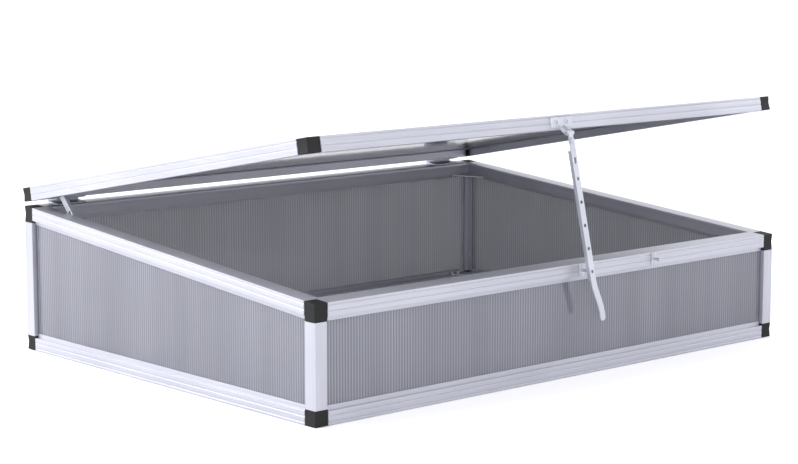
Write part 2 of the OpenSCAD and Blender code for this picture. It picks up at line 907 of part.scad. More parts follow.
module at_catch(which) {
    translate([which == "middle" ? catch_x : catch_x + catch_pitch, front_y, catch_z]) children();
}

module catch(which) {
    color("lightgray") difference() {
        at_catch(which) {
            translate([-catch_w / 2, -catch_t, -catch_h / 2]) cube([catch_w, catch_t, catch_h]);
            rotate([90, 0, 0]) cylinder(h = pin_len - pin_tip, r = pin_r);
            translate([0, pin_tip - pin_len, 0]) rotate([90, 0, 0])
                cylinder(h = pin_tip, r1 = pin_r, r2 = pin_r - pin_tip);
        }
        catch_screw_shanks(thin_screw_r + hole_gap);
    }
}

module catch_screw_shanks(r) {
    for (which = ["middle", "right"])
        at_catch(which)
        for (z = [-catch_screw_z, catch_screw_z])
            translate([0, -catch_t - over, z]) rotate([-90, 0, 0]) cylinder(h = screw_len + over, r = r);
}

module catch_screws() {
    color("lightgray")
    for (which = ["middle", "right"])
        at_catch(which)
        for (z = [-catch_screw_z, catch_screw_z])
            translate([0, -catch_t, z]) {
                rotate([90, 0, 0]) cylinder(h = small_head_h, r = small_head_r);
                rotate([-90, 0, 0]) cylinder(h = screw_len, r = thin_screw_r);
            }
}

// ---- Side stay inside the left wall ----

// Frame of its bolt: origin on the bolt's axis in the plane of the left face, +X inwards
module on_side_bolt() {
    on_lid() translate([left_x, -hinge_back - side_y, half_gap + side_h]) children();
}

module side_bolt_hole() {
    on_side_bolt() translate([lid_depth - wall - over, 0, 0]) rotate([0, 90, 0])
        cylinder(h = wall + 2 * over, r = side_bolt_r + hole_gap);
}

module side_stay_bolt() {
    color("lightgray") on_side_bolt() {
        translate([lid_depth - wall, 0, 0]) rotate([0, 90, 0])
            cylinder(h = side_x + arm_t + side_bolt_over - lid_depth + wall, r = side_bolt_r);
        translate([lid_depth, 0, 0]) rotate([0, 90, 0])
            cylinder(h = side_x - part_gap - lid_depth, r = side_collar_r);
        translate([side_x + arm_t + part_gap, 0, 0]) rotate([0, 90, 0])
            cylinder(h = side_head_h, r = side_head_r);
    }
}

// The arm hangs along -Z, its web at side_x and its flanges inwards
module side_stay_arm() {
    color("silver") on_side_bolt() rotate([lid_rise - side_lean, 0, 0]) difference() {
        union() {
            translate([side_x, -arm_w / 2, -side_tip]) cube([arm_t, arm_w, side_tip]);
            for (z = [0, -side_tip])
                translate([side_x, 0, z]) rotate([0, 90, 0]) cylinder(h = arm_t, r = arm_w / 2);
            for (y = [-arm_w / 2, arm_w / 2 - arm_flange_t])
                translate([side_x, y, -side_tip]) cube([arm_depth, arm_flange_t, side_tip]);
        }
        translate([side_x - over, 0, 0]) rotate([0, 90, 0])
            cylinder(h = arm_t + 2 * over, r = side_bolt_r + running_gap);
        for (n = [1:side_holes])
            translate([side_x - over, 0, -n * side_len / (side_holes + 1)]) rotate([0, 90, 0])
                cylinder(h = arm_t + 2 * over, r = arm_hole_r);
    }
}

// ---- Assembly ----

for (side = SIDES) {
    bottom_rail(side);
    top_rail(side);
    wall_sheet(side);
    lid_rail(side);
}
for (name = CORNERS) {
    corner_post(name);
    bottom_corner(name);
    top_corner(name);
    lid_corner(name);
}
for (side = ["left", "right"]) {
    hinge_base_leaf(side);
    hinge_lid_leaf(side);
    hinge_pin(side);
}
lower_gussets();
upper_gussets();
lower_gusset_bolts();
upper_gusset_bolts();
post_screws();
lid_sheet();
hinge_base_screws();
hinge_lid_screws();
stay_bracket();
stay_bracket_screws();
stay_cross_pin();
stay_knuckle();
stay_rivet();
stay_arm();
catch("middle");  // catch_middle
catch("right");  // catch_right
catch_screws();
side_stay_bolt();
side_stay_arm();
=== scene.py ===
"""Looks for a cold frame: aluminium rails, twin-wall sheets, black corner blocks and a propped lid.

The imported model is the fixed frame. Visible pieces are built around it as numpy surfaces in metres,
or as softened copies of the small pressed parts, and each gets a procedural finish.
"""

import json
import logging
import math
from dataclasses import dataclass, field
from enum import Enum
from typing import Callable, Sequence

import bmesh
import bpy
import numpy as np
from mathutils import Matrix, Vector


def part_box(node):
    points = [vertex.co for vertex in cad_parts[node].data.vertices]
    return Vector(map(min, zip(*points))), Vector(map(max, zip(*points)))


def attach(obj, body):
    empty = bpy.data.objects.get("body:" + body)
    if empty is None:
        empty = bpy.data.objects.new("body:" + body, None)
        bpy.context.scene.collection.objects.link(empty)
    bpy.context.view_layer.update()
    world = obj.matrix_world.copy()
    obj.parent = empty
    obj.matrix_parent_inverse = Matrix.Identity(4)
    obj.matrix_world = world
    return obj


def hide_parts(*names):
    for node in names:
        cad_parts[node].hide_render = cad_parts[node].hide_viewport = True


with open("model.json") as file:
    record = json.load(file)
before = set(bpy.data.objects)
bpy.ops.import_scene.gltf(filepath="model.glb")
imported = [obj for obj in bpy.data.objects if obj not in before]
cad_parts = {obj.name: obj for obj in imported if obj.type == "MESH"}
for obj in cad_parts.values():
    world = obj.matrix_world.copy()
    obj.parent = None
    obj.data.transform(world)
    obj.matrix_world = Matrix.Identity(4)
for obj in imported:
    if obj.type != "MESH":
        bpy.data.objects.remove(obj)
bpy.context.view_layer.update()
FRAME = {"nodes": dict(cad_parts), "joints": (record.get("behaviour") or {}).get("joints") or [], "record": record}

log = logging.getLogger("cold_frame")
MM = 0.001
# Points of a made mesh, and of a CAD mesh, that lie this near become one; in metres.
SEAM = 1e-7
CAD_SEAM = 2e-6
# A depth in metres that no section reaches.
UNCUT = 1.0
# Half the width of a rail's groove at its mouth and at its floor, in millimetres.
GROOVE_MOUTH = 0.9
GROOVE_FLOOR = 0.4
SIDES = ("front", "rear", "left", "right")
LENGTHWISE = ("front", "rear")
CORNERS = ("front_left", "front_right", "rear_left", "rear_right")


class Axis(Enum):
    """Direction in which a section was drawn or a sheet was brushed."""

    X = 0
    Y = 1
    Z = 2


# ---- Frame readings ----


def node_points(node: str) -> np.ndarray:
    """Reads the corners of a CAD node's mesh.

    Args:
        node: name of the CAD node.

    Returns:
        An (n, 3) array in metres.
    """
    mesh = FRAME["nodes"][node].data
    flat = np.empty(len(mesh.vertices) * 3, np.float32)
    mesh.vertices.foreach_get("co", flat)
    return flat.reshape(-1, 3).astype(float)


def body_of(node: str) -> str:
    """Returns the name of the body that a CAD node belongs to."""
    bodies = FRAME["record"]["behaviour"]["bodies"]
    return next(body for body, nodes in bodies.items() if node in nodes)


def slot_of(node: str) -> str:
    """Returns the name of a CAD node's material slot in the record."""
    return next(s["material_slot"] for s in FRAME["record"]["subparts"] if s["node"] == node)


def joint_point(name: str) -> np.ndarray:
    """Returns the point that a joint turns about, in metres."""
    return np.array(next(j["pos_m"] for j in FRAME["joints"] if j["name"] == name))


# ---- Finishes ----


def linear(code: str, alpha: float = 1.0) -> tuple[float, float, float, float]:
    """Turns an sRGB hex colour into a linear one.

    Args:
        code: six hex digits after a hash sign.
        alpha: opacity to append.

    Returns:
        Linear red, green, blue and alpha.
    """
    parts = [int(code[i : i + 2], 16) / 255 for i in (1, 3, 5)]
    red, green, blue = [p / 12.92 if p <= 0.04045 else ((p + 0.055) / 1.055) ** 2.4 for p in parts]
    return (red, green, blue, alpha)


def add_node(tree: bpy.types.NodeTree, kind: str, inputs: dict, **settings: object) -> bpy.types.Node:
    """Adds one shader node with its settings, values and links.

    Args:
        tree: the node tree to add to.
        kind: Blender's name of the node type, without "ShaderNode" before it.
        inputs: input name or index to a value, or to an output socket to link from.
        settings: attributes to set on the node before its inputs.

    Returns:
        The new node.
    """
    node = tree.nodes.new(f"ShaderNode{kind}")
    for key, value in settings.items():
        setattr(node, key, value)
    for key, value in inputs.items():
        if isinstance(value, bpy.types.NodeSocket):
            tree.links.new(value, node.inputs[key])
        else:
            node.inputs[key].default_value = value
    return node


def blank_material(title: str) -> tuple[bpy.types.Material, bpy.types.NodeTree | None]:
    """Finds a material that was made before, or makes an empty one.

    Args:
        title: the material's name.

    Returns:
        The material, and its empty node tree if it is new.
    """
    found = bpy.data.materials.get(title)
    if found:
        return found, None
    made = bpy.data.materials.new(title)
    made.use_nodes = True
    made.node_tree.nodes.clear()
    return made, made.node_tree


@dataclass(frozen=True)
class Finish:
    """A surface: two close colours, a roughness band and a relief pattern at a real scale.

    Args:
        name: what the surface is.
        light: the lighter of its two colours.
        dark: the darker one.
        metallic: 1 for bare metal, 0 for plastic and paint.
        roughness: lowest and highest roughness.
        grain_mm: size of the fine pattern across its direction.
        stretch: how many times longer the pattern is along its direction.
        relief_mm: depth of the pattern.
        cloud_mm: size of the slow change from light to dark.
        ior: refractive index, kept at the default for a metal.
        alpha: opacity of one face.
    """

    name: str
    light: str
    dark: str
    metallic: float
    roughness: tuple[float, float]
    grain_mm: float
    stretch: float = 1.0
    relief_mm: float = 0.02
    cloud_mm: float = 180.0
    ior: float = 1.5
    alpha: float = 1.0

    def material(self, along: Axis = Axis.X) -> bpy.types.Material:
        """Builds the procedural material, once for each direction.

        Args:
            along: the direction of the fine pattern.

        Returns:
            The material.
        """
        title = f"{self.name} {along.name.lower()}" if self.stretch != 1.0 else self.name
        made, tree = blank_material(title)
        if tree is None:
            return made
        place = add_node(tree, "TexCoord", {}).outputs["Object"]
        across = 1.0 / (self.grain_mm * MM)
        scale = [across, across, across]
        scale[along.value] = across / self.stretch
        fine_place = add_node(tree, "Mapping", {"Vector": place, "Scale": scale})
        fine = add_node(
            tree,
            "TexNoise",
            {"Vector": fine_place.outputs["Vector"], "Scale": 1.0, "Detail": 3.0, "Roughness": 0.6},
        )
        cloud = add_node(
            tree, "TexNoise", {"Vector": place, "Scale": 1.0 / (self.cloud_mm * MM), "Detail": 2.0}
        )
        mixed = add_node(
            tree, "Math", {0: fine.outputs["Fac"], 1: cloud.outputs["Fac"]}, operation="MULTIPLY"
        )
        share = add_node(tree, "MapRange", {"Value": mixed.outputs[0], "From Min": 0.12, "From Max": 0.42})
        colour = add_node(
            tree,
            "Mix",
            {0: share.outputs["Result"], 6: linear(self.dark), 7: linear(self.light)},
            data_type="RGBA",
        )
        rough = add_node(
            tree,
            "MapRange",
            {
                "Value": fine.outputs["Fac"],
                "From Min": 0.3,
                "From Max": 0.7,
                "To Min": self.roughness[0],
                "To Max": self.roughness[1],
            },
        )
        bump = add_node(
            tree, "Bump", {"Height": fine.outputs["Fac"], "Strength": 0.6, "Distance": self.relief_mm * MM}
        )
        shader = add_node(
            tree,
            "BsdfPrincipled",
            {
                "Base Color": colour.outputs[2],
                "Roughness": rough.outputs["Result"],
                "Metallic": self.metallic,
                "IOR": self.ior,
                "Alpha": self.alpha,
                "Normal": bump.outputs["Normal"],
            },
        )
        add_node(tree, "OutputMaterial", {"Surface": shader.outputs["BSDF"]})
        return made


# Extruded and anodised: pale with a cool cast, a soft sheen and faint lines drawn by the die. The
# oxide layer scatters nearly half of the light, so that the metal isn't black inside the frame.
# Real die lines lie about 0.3 mm apart; they are drawn at 1.6 mm so that they show.
ANODISED = Finish("anodised aluminium", "#B0B1BB", "#A3A4AE", 0.55, (0.32, 0.42), 1.6, 60.0, 0.005, 260.0)
# Stamped from plain aluminium sheet and left bare, with the mill's rolling lines.
MILL = Finish("mill finish aluminium", "#BDBFC8", "#ABAEB7", 0.62, (0.34, 0.46), 0.8, 25.0, 0.005, 60.0)
# Cold-headed steel with bright zinc plate: bluish grey and slightly mottled.
ZINC = Finish("zinc plated steel", "#C0C3CB", "#A3A7B0", 0.8, (0.26, 0.38), 0.5, 1.0, 0.008, 14.0)
# Injection-moulded nylon with a spark-eroded texture: black, dull, with a fine even grain.
NYLON = Finish("moulded black nylon", "#0D0E10", "#08090A", 0.0, (0.60, 0.75), 0.7, 1.0, 0.020, 40.0, 1.36)
# Drawn steel of the hinge pins, a little brighter where it has turned.
PIN_STEEL = Finish("drawn steel", "#B8BBC0", "#8D9096", 1.0, (0.20, 0.34), 0.4, 12.0, 0.006, 12.0)
# Rolled matt paint of the studio floor.
FLOOR = Finish("matt floor paint", "#F6F6F7", "#F3F3F5", 0.0, (0.75, 0.9), 6.0, 1.0, 0.01, 1500.0)


@dataclass(frozen=True)
class FlutedFinish:
    """Extruded twin-wall sheet: glossy skins that spread light, with each rib's root a paler line, a painted
    highlight laid along the real ribs.

    Each piece carries an attribute that counts its ribs, so that the lines lie on the ribs.

    Args:
        name: what the surface is.
        rib: colour at a rib, paler than between the ribs as a painted highlight.
        cell: colour between two ribs.
        rib_alpha: opacity of one face at a rib.
        cell_alpha: opacity of one face between two ribs.
        roughness: roughness of the skins.
        ior: refractive index of the plastic.
        scatter: share of the light that goes into the plastic and spreads.
        reach: how far it spreads, in metres, so that a sheet glows against the light.
    """

    name: str = "twin-wall polycarbonate"
    # The paler rib colour is a painted highlight along each rib's root; the ribs themselves are real.
    rib: str = "#8C8D99"
    cell: str = "#666772"
    rib_alpha: float = 0.84
    cell_alpha: float = 0.80
    roughness: float = 0.06
    ior: float = 1.585
    scatter: float = 0.7
    reach: float = 0.004

    def material(self) -> bpy.types.Material:
        """Builds the procedural material once.

        Returns:
            The material.
        """
        made, tree = blank_material(self.name)
        if tree is None:
            return made
        count = add_node(tree, "Attribute", {}, attribute_name="flute").outputs["Fac"]
        # Painted highlight: a soft band at each rib's root takes the paler rib colour and a higher opacity, and
        # its strength drifts slowly along the sheet.
        away = add_node(tree, "Math", {0: count, 1: 0.5}, operation="PINGPONG")
        painted_rib_highlight = add_node(
            tree,
            "MapRange",
            {"Value": away.outputs[0], "From Min": 0.08, "From Max": 0.34, "To Min": 1.0, "To Max": 0.0},
            interpolation_type="SMOOTHSTEP",
        )
        nearest = add_node(tree, "Math", {0: count}, operation="ROUND")
        uneven = add_node(tree, "TexWhiteNoise", {"W": nearest.outputs[0]}, noise_dimensions="1D")
        drift = add_node(
            tree, "TexNoise", {"W": count, "Scale": 0.06, "Detail": 1.0}, noise_dimensions="1D"
        )
        depth = add_node(tree, "MapRange", {"Value": uneven.outputs["Value"], "To Min": 0.8, "To Max": 1.0})
        strength = add_node(
            tree,
            "MapRange",
            {"Value": drift.outputs["Fac"], "From Min": 0.3, "From Max": 0.65, "To Min": 0.45, "To Max": 1.0},
        )
        both = add_node(
            tree, "Math", {0: depth.outputs["Result"], 1: strength.outputs["Result"]}, operation="MULTIPLY"
        )
        share = add_node(
            tree, "Math", {0: painted_rib_highlight.outputs["Result"], 1: both.outputs[0]}, operation="MULTIPLY"
        )
        colour = add_node(
            tree, "Mix", {0: share.outputs[0], 6: linear(self.cell), 7: linear(self.rib)}, data_type="RGBA"
        )
        opacity = add_node(
            tree,
            "MapRange",
            {"Value": share.outputs[0], "To Min": self.cell_alpha, "To Max": self.rib_alpha},
        )
        shader = add_node(
            tree,
            "BsdfPrincipled",
            {
                "Base Color": colour.outputs[2],
                "Roughness": self.roughness,
                "IOR": self.ior,
                "Subsurface Weight": self.scatter,
                "Subsurface Radius": (1.0, 1.0, 1.0),
                "Subsurface Scale": self.reach,
                "Alpha": opacity.outputs["Result"],
            },
        )
        add_node(tree, "OutputMaterial", {"Surface": shader.outputs["BSDF"]})
        return made


SHEET = FlutedFinish()
# The same plastic inside the flutes, where no light is lost: nearly clear.
FLUTE = Finish("inside of the flutes", "#8E8F99", "#7F808A", 0.0, (0.10, 0.16), 4.0, alpha=0.08, ior=1.585)


# ---- Mesh building ----


@dataclass
class Ribs:
    """What a sheet's mesh knows of its ribs.

    Args:
        before: how many ribs lie before each point.
        inside: whether each face lies inside a flute.
    """

    before: np.ndarray
    inside: np.ndarray


def enrol(name: str, mesh: bpy.types.Mesh, node: str) -> bpy.types.Object:
    """Makes an object of a mesh, as the visible piece for a CAD node.

    Args:
        name: the piece's name.
        mesh: its mesh, in metres and in place.
        node: the CAD node that it stands for, whose body it rides on.

    Returns:
        The new object.
    """
    made = bpy.data.objects.new(name, mesh)
    bpy.context.scene.collection.objects.link(made)
    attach(made, body_of(node))
    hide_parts(node)
    slot_of(node)
    log.info("%s: %d faces, rides on %s", name, len(mesh.polygons), body_of(node))
    return made


def add_piece(
    name: str,
    points: np.ndarray,
    faces: Sequence[Sequence[int]],
    finish: bpy.types.Material,
    node: str,
    sharp_deg: float = 32.0,
    ribs: Ribs | None = None,
) -> bpy.types.Object:
    """Puts a mesh into the scene as the visible piece for a CAD node.

    Args:
        name: the piece's name.
        points: (n, 3) places in metres.
        faces: corner indices of each face.
        finish: its material.
        node: the CAD node that it stands for.
        sharp_deg: edges sharper than this stay sharp when shaded.
        ribs: the ribs of a sheet; its faces inside the flutes are dressed in their own finish.

    Returns:
        The new object.
    """
    mesh = bpy.data.meshes.new(name)
    mesh.from_pydata(np.asarray(points, float).tolist(), [], [list(map(int, f)) for f in faces])
    if ribs is not None:
        flute = mesh.attributes.new("flute", "FLOAT", "POINT")
        flute.data.foreach_set("value", ribs.before.astype(np.float32))
        mesh.polygons.foreach_set("material_index", ribs.inside.astype(np.int32))
    build = bmesh.new()
    build.from_mesh(mesh)
    bmesh.ops.remove_doubles(build, verts=build.verts, dist=SEAM)
    bmesh.ops.recalc_face_normals(build, faces=build.faces)
    build.to_mesh(mesh)
    build.free()
    mesh.shade_smooth()
    mesh.set_sharp_from_angle(angle=math.radians(sharp_deg))
    mesh.materials.append(finish)
    if ribs is not None:
        mesh.materials.append(FLUTE.material())
    return enrol(name, mesh, node)


def grid_faces(rows: int, columns: int, start: int = 0) -> np.ndarray:
    """Joins a grid of rings into quads; each row is one closed ring.

    Args:
        rows: number of rings.
        columns: points on each ring.
        start: index of the first point.

    Returns:
        An (n, 4) array of corner indices.
    """
    row, column = np.meshgrid(np.arange(rows - 1), np.arange(columns), indexing="ij")
    here = start + row * columns + column
    beside = start + row * columns + (column + 1) % columns
    return np.stack([here, beside, beside + columns, here + columns], -1).reshape(-1, 4)


def swept(rings: np.ndarray) -> tuple[np.ndarray, list]:
    """Joins rings of points into a closed solid with a flat face at each end.

    Args:
        rings: (rows, columns, 3) places, one closed ring a row.

    Returns:
        Points and faces.
    """
    rows, columns = rings.shape[:2]
    faces = grid_faces(rows, columns).tolist()
    faces.append(list(range(columns))[::-1])
    faces.append(list(range((rows - 1) * columns, rows * columns)))
    return rings.reshape(-1, 3), faces


def rounded(outline: np.ndarray, radius: float, steps: int = 3) -> np.ndarray:
    """Rounds the corners of a closed outline.

    Each corner P becomes a parabola (1-s)^2 A + 2s(1-s) P + s^2 B between the points A and B,
    which lie on its two edges at the radius, or at 0.45 of a shorter edge.

    Args:
        outline: (n, 2) corners.
        radius: distance from a corner to A and B.
        steps: segments in each rounded corner.

    Returns:
        The rounded outline as an (n * (steps + 1), 2) array.
    """
    before = np.roll(outline, 1, 0) - outline
    after = np.roll(outline, -1, 0) - outline
    length_b = np.linalg.norm(before, axis=1, keepdims=True)
    length_a = np.linalg.norm(after, axis=1, keepdims=True)
    reach = np.minimum(radius, 0.45 * np.minimum(length_a, length_b))
    start = outline + before / length_b * reach
    end = outline + after / length_a * reach
    s = np.linspace(0, 1, steps + 1)[None, :, None]
    curve = (1 - s) ** 2 * start[:, None] + 2 * s * (1 - s) * outline[:, None] + s**2 * end[:, None]
    return curve.reshape(-1, 2)


def softened(
    name: str,
    node: str,
    finish: bpy.types.Material,
    width_mm: float,
    flat_deg: float = 0.5,
    sharp_deg: float = 35.0,
    bevel_deg: float = 38.0,
) -> bpy.types.Object:
    """Copies a pressed or turned CAD part and gives its edges a small round.

    Args:
        name: the piece's name.
        node: the CAD node to copy and stand for.
        finish: its material.
        width_mm: width of the rounded edge.
        flat_deg: faces that bend less than this become one.
        sharp_deg: edges sharper than this stay sharp when shaded.
        bevel_deg: edges sharper than this are rounded.

    Returns:
        The new object.
    """
    mesh = FRAME["nodes"][node].data.copy()
    mesh.name = name
    build = bmesh.new()
    build.from_mesh(mesh)
    bmesh.ops.remove_doubles(build, verts=build.verts, dist=CAD_SEAM)
    bmesh.ops.dissolve_limit(
        build, angle_limit=math.radians(flat_deg), verts=build.verts, edges=build.edges
    )
    build.to_mesh(mesh)
    build.free()
    mesh.materials.clear()
    mesh.materials.append(finish)
    mesh.shade_smooth()
    mesh.set_sharp_from_angle(angle=math.radians(sharp_deg))
    made = enrol(name, mesh, node)
    bevel = made.modifiers.new("edge", "BEVEL")
    bevel.width = width_mm * MM
    bevel.segments = 2
    bevel.limit_method = "ANGLE"
    bevel.angle_limit = math.radians(bevel_deg)
    flat = made.modifiers.new("flat", "WEIGHTED_NORMAL")
    flat.keep_sharp = True
    return made


# ---- Rail helpers ----


def drawn_along(side: str) -> Axis:
    """Returns the direction that the rail on one side was drawn in."""
    return Axis.X if side in LENGTHWISE else Axis.Y


def groove_corners(at: float, deep: float) -> list:
    """Corners of one groove about the height at, as [depth, height], in millimetres."""
    places = ((0, -GROOVE_MOUTH), (deep, -GROOVE_FLOOR), (deep, GROOVE_FLOOR), (0, GROOVE_MOUTH))
    return [[depth, at + offset] for depth, offset in places]


def notched(near: float, far: float, cap: float, reach: float, body: float) -> tuple:
    """Stations of a side rail whose inner part stops where the front's and rear's pass.

    Args:
        near: the front's outer face.
        far: the rear's outer face.
        cap: side of a corner block.
        reach: how deep the front's and rear's inner parts reach.
        body: depth of this rail's body.

    Returns:
        The place of each station and the greatest depth there.
    """
    ends = [near + cap, near + reach, near + reach, far - reach, far - reach, far - cap]
    return np.array(ends), np.array([body, body, UNCUT, UNCUT, body, body])


def plain(near: float, far: float, cap: float) -> tuple:
    """Stations and greatest depths of a rail that runs whole from one corner block to the next."""
    return np.array([near + cap, far - cap]), np.array([UNCUT, UNCUT])


def carried(outline: np.ndarray, stations: tuple) -> tuple[np.ndarray, np.ndarray, np.ndarray]:
    """Repeats a section at every station, cut to the depth that is free there.

    Args:
        outline: (points, 2) depths and heights of the section.
        stations: the place of each station and the greatest depth there.

    Returns:
        Depths, heights and places along the rail, each (stations, points).
    """
    ends, limits = stations
    deep = np.minimum(outline[:, 0], limits[:, None])
    tall = np.broadcast_to(outline[:, 1], deep.shape)
    return deep, tall, np.broadcast_to(ends[:, None], deep.shape)


def around(
    side: str, faces: tuple[float, float, float], deep: np.ndarray, along: np.ndarray
) -> tuple[np.ndarray, np.ndarray]:
    """Lays depths inwards from one side's outer face.

    Args:
        side: front, rear, left or right.
        faces: outer faces on the left, at the front and at the rear.
        deep: depths from the outer face.
        along: places along the rail.

    Returns:
        x and y.
    """
    left, front, rear = faces
    if side == "front":
        return along, front + deep
    if side == "rear":
        return along, rear - deep
    return left + deep if side == "left" else -left - deep, along


# ---- The base's own geometry ----


@dataclass
class BaseShape:
    """Outer planes of the base and its sloped top, read from the frame.

    Args:
        cap: side of a corner block.
        flange: depth of an upper rail's flange.
    """

    cap: float = 26 * MM
    flange: float = 32 * MM
    left: float = field(init=False)
    front: float = field(init=False)
    rear: float = field(init=False)
    slope: float = field(init=False)
    rear_top: float = field(init=False)

    def __post_init__(self) -> None:
        """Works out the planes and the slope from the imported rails."""
        low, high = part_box("top_rail_rear")
        self.left = low.x - self.cap
        self.rear = high.y
        self.rear_top = high.z
        low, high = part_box("top_rail_front")
        self.front = low.y
        self.slope = (self.rear_top - high.z) / (self.rear - self.front - self.flange)

    def top(self, y: np.ndarray, h: np.ndarray) -> np.ndarray:
        """Height of the sloped top plane at y, less a depth h square to it."""
        return self.rear_top + (y - self.rear) * self.slope - h * math.hypot(1.0, self.slope)


@dataclass
class RailSection:
    """Hollow rail with grooves in its face and two lips that hold a sheet; sizes in millimetres.

    Args:
        face: height of the outer face.
        depth: depth of the body.
        flange: depth of the top flange, the same as depth where there is none.
        flange_t: thickness of that flange.
        lip: height of the lips.
        lip_t: thickness of a lip.
        slot_in: distance from the face to the slot.
        slot_w: width of the slot.
        bed: height of the slot's bed over the face.
        groove: depth of the grooves.
        groove_at: heights of the two grooves, as shares of the face.
        edge: radius of the edges.
    """

    face: float = 22.6
    depth: float = 26.0
    flange: float = 26.0
    flange_t: float = 6.0
    lip: float = 7.4
    lip_t: float = 1.5
    slot_in: float = 8.0
    slot_w: float = 4.5
    bed: float = 2.0
    groove: float = 0.8
    groove_at: tuple[float, float] = (0.2, 0.62)
    edge: float = 0.7

    def outline(self) -> np.ndarray:
        """Outline as [depth from the face, height from the outer edge], in metres."""
        inner = self.slot_in + self.slot_w + self.lip_t
        tip = self.face + self.lip
        floor = self.face + self.bed
        corners = [[0, 0]]
        for share in self.groove_at:
            corners += groove_corners(self.face * share, self.groove)
        corners += [[0, self.face]]
        corners += [[self.slot_in - self.lip_t, self.face], [self.slot_in - self.lip_t, tip]]
        corners += [[self.slot_in, tip], [self.slot_in, floor]]
        corners += [[self.slot_in + self.slot_w, floor], [self.slot_in + self.slot_w, tip]]
        corners += [[inner, tip], [inner, self.face], [self.depth, self.face]]
        if self.flange > self.depth:
            corners += [[self.depth, self.flange_t], [self.flange, self.flange_t]]
        corners += [[self.flange, 0]]
        return rounded(np.array(corners), self.edge) * MM


@dataclass
class BaseRails:
    """The eight rails of the base: four on the ground and four under the lid."""

    shape: BaseShape
    low: RailSection = field(default_factory=RailSection)
    high: RailSection = field(default_factory=lambda: RailSection(flange=32.0))

    def rings(self, side: str, upper: bool) -> np.ndarray:
        """Carries the section from one corner block to the next.

        The flange of a side rail is cut back to the body where the front and rear flanges pass.

        Args:
            side: front, rear, left or right.
            upper: True for a rail under the lid.

        Returns:
            (stations, points, 3) places in metres.
        """
        shape = self.shape
        section = self.high if upper else self.low
        if side in LENGTHWISE:
            stations = plain(shape.left, -shape.left, shape.cap)
        elif upper:
            stations = notched(shape.front, shape.rear, shape.cap, shape.flange, section.depth * MM)
        else:
            stations = plain(shape.front, shape.rear, shape.cap)
        deep, tall, along = carried(section.outline(), stations)
        x, y = around(side, (shape.left, shape.front, shape.rear), deep, along)
        z = shape.top(y, tall) if upper else tall
        return np.stack([x, y, z], -1)

    def build(self) -> None:
        """Builds and dresses the eight rails."""
        for side in SIDES:
            finish = ANODISED.material(drawn_along(side))
            for upper, level in ((False, "bottom"), (True, "top")):
                points, faces = swept(self.rings(side, upper))
                node = f"{level}_rail_{side}"
                add_piece(f"{node}_section", points, faces, finish, node)


@dataclass
class Posts:
    """Four corner posts: two legs with an open slot for a sheet in the end of each.

    Args:
        shape: the base's planes.
        face: width of each outer face, in millimetres.
        leg: depth of each leg.
        slot: how far the slot enters a leg.
        slot_in: distance from the outer face to the slot.
        slot_w: width of the slot.
        corner: how far the outer corner is cut back.
        step: where the light step in a face starts, bottoms out, rises and ends.
        step_d: depth of that step.
        edge: radius of the edges.
    """

    shape: BaseShape
    face: float = 24.0
    leg: float = 15.0
    slot: float = 7.0
    slot_in: float = 8.0
    slot_w: float = 4.5
    corner: float = 1.2
    step: tuple[float, float, float, float] = (5.0, 5.3, 5.9, 6.2)
    step_d: float = 0.35
    edge: float = 0.6

    def outline(self) -> np.ndarray:
        """Outline from the outer corner inwards, in metres, with a light step in each face."""
        near, far = self.slot_in, self.slot_in + self.slot_w
        bottom = self.face - self.slot
        step = [[at, d] for at, d in zip(self.step, (0.0, self.step_d, self.step_d, 0.0))]
        half = [[self.corner, 0.0], *step, [self.face, 0.0], [self.face, near], [bottom, near]]
        half += [[bottom, far], [self.face, far], [self.face, self.leg], [self.leg, self.leg]]
        other = [[b, a] for a, b in half[-2::-1]]
        return rounded(np.array([*half, *other]), self.edge) * MM

    def build(self) -> None:
        """Builds the posts between their corner blocks."""
        outline = self.outline()
        for name in CORNERS:
            node = f"corner_post_{name}"
            low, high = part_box(node)
            right = -1.0 if name.endswith("right") else 1.0
            back = -1.0 if name.startswith("rear") else 1.0
            corner_x = self.shape.left * right
            corner_y = self.shape.front if back > 0 else self.shape.rear
            x = corner_x + right * outline[:, 0]
            y = corner_y + back * outline[:, 1]
            rings = np.stack([np.stack([x, y, np.full_like(x, z)], -1) for z in (low.z, high.z)])
            points, faces = swept(rings)
            add_piece(f"{node}_section", points, faces, ANODISED.material(Axis.Z), node)


